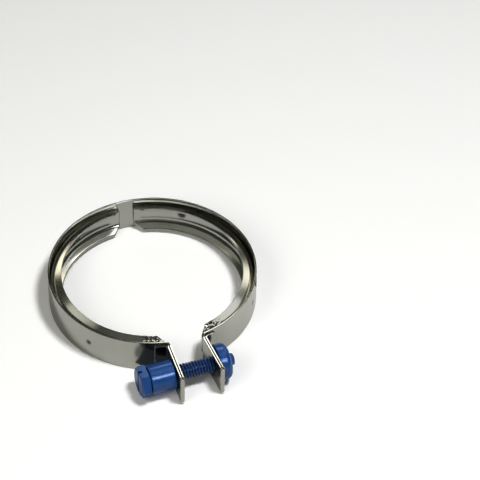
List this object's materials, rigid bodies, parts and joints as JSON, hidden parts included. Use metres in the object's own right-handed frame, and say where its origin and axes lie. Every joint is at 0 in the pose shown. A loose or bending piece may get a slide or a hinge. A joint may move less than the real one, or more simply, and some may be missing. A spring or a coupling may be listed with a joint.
{
  "type": "turbo clamp",
  "caption": "V-band clamp for a turbo joint: folded strip ring with V segments inside, drawn shut by a hex screw, spacer sleeve and round nut.",
  "frame": {"origin": "centre of the ring, on its axis at mid-height", "axes": "+Z along the ring's axis, the lugs towards -Y, the screw along X with its head at -X"},
  "size_m": [0.106, 0.1303, 0.019],
  "materials": {
    "stainless": "bright",
    "blue_coating": "satin"
  },
  "bodies": {
    "ring": {"band": "stainless", "v_segment_left": "stainless", "v_segment_right": "stainless", "round_nut": "blue_coating"},
    "sleeve": {"spacer_sleeve": "blue_coating"},
    "screw": {"clamp_screw": "blue_coating"}
  },
  "joints": [
    {"name": "sleeve_slide", "type": "slide", "parent": "ring", "child": "sleeve", "axis": [-1, 0, 0], "range_m": [0, 0.0075]},
    {"name": "screw_turn", "type": "hinge", "parent": "sleeve", "child": "screw", "pos_m": [0, -0.0645, 0], "axis": [-1, 0, 0], "range_deg": [0, 2160]}
  ],
  "couplings": [
    {"joint": "screw_turn", "follows": "sleeve_slide", "rad_per_m": 5026.5}
  ]
}
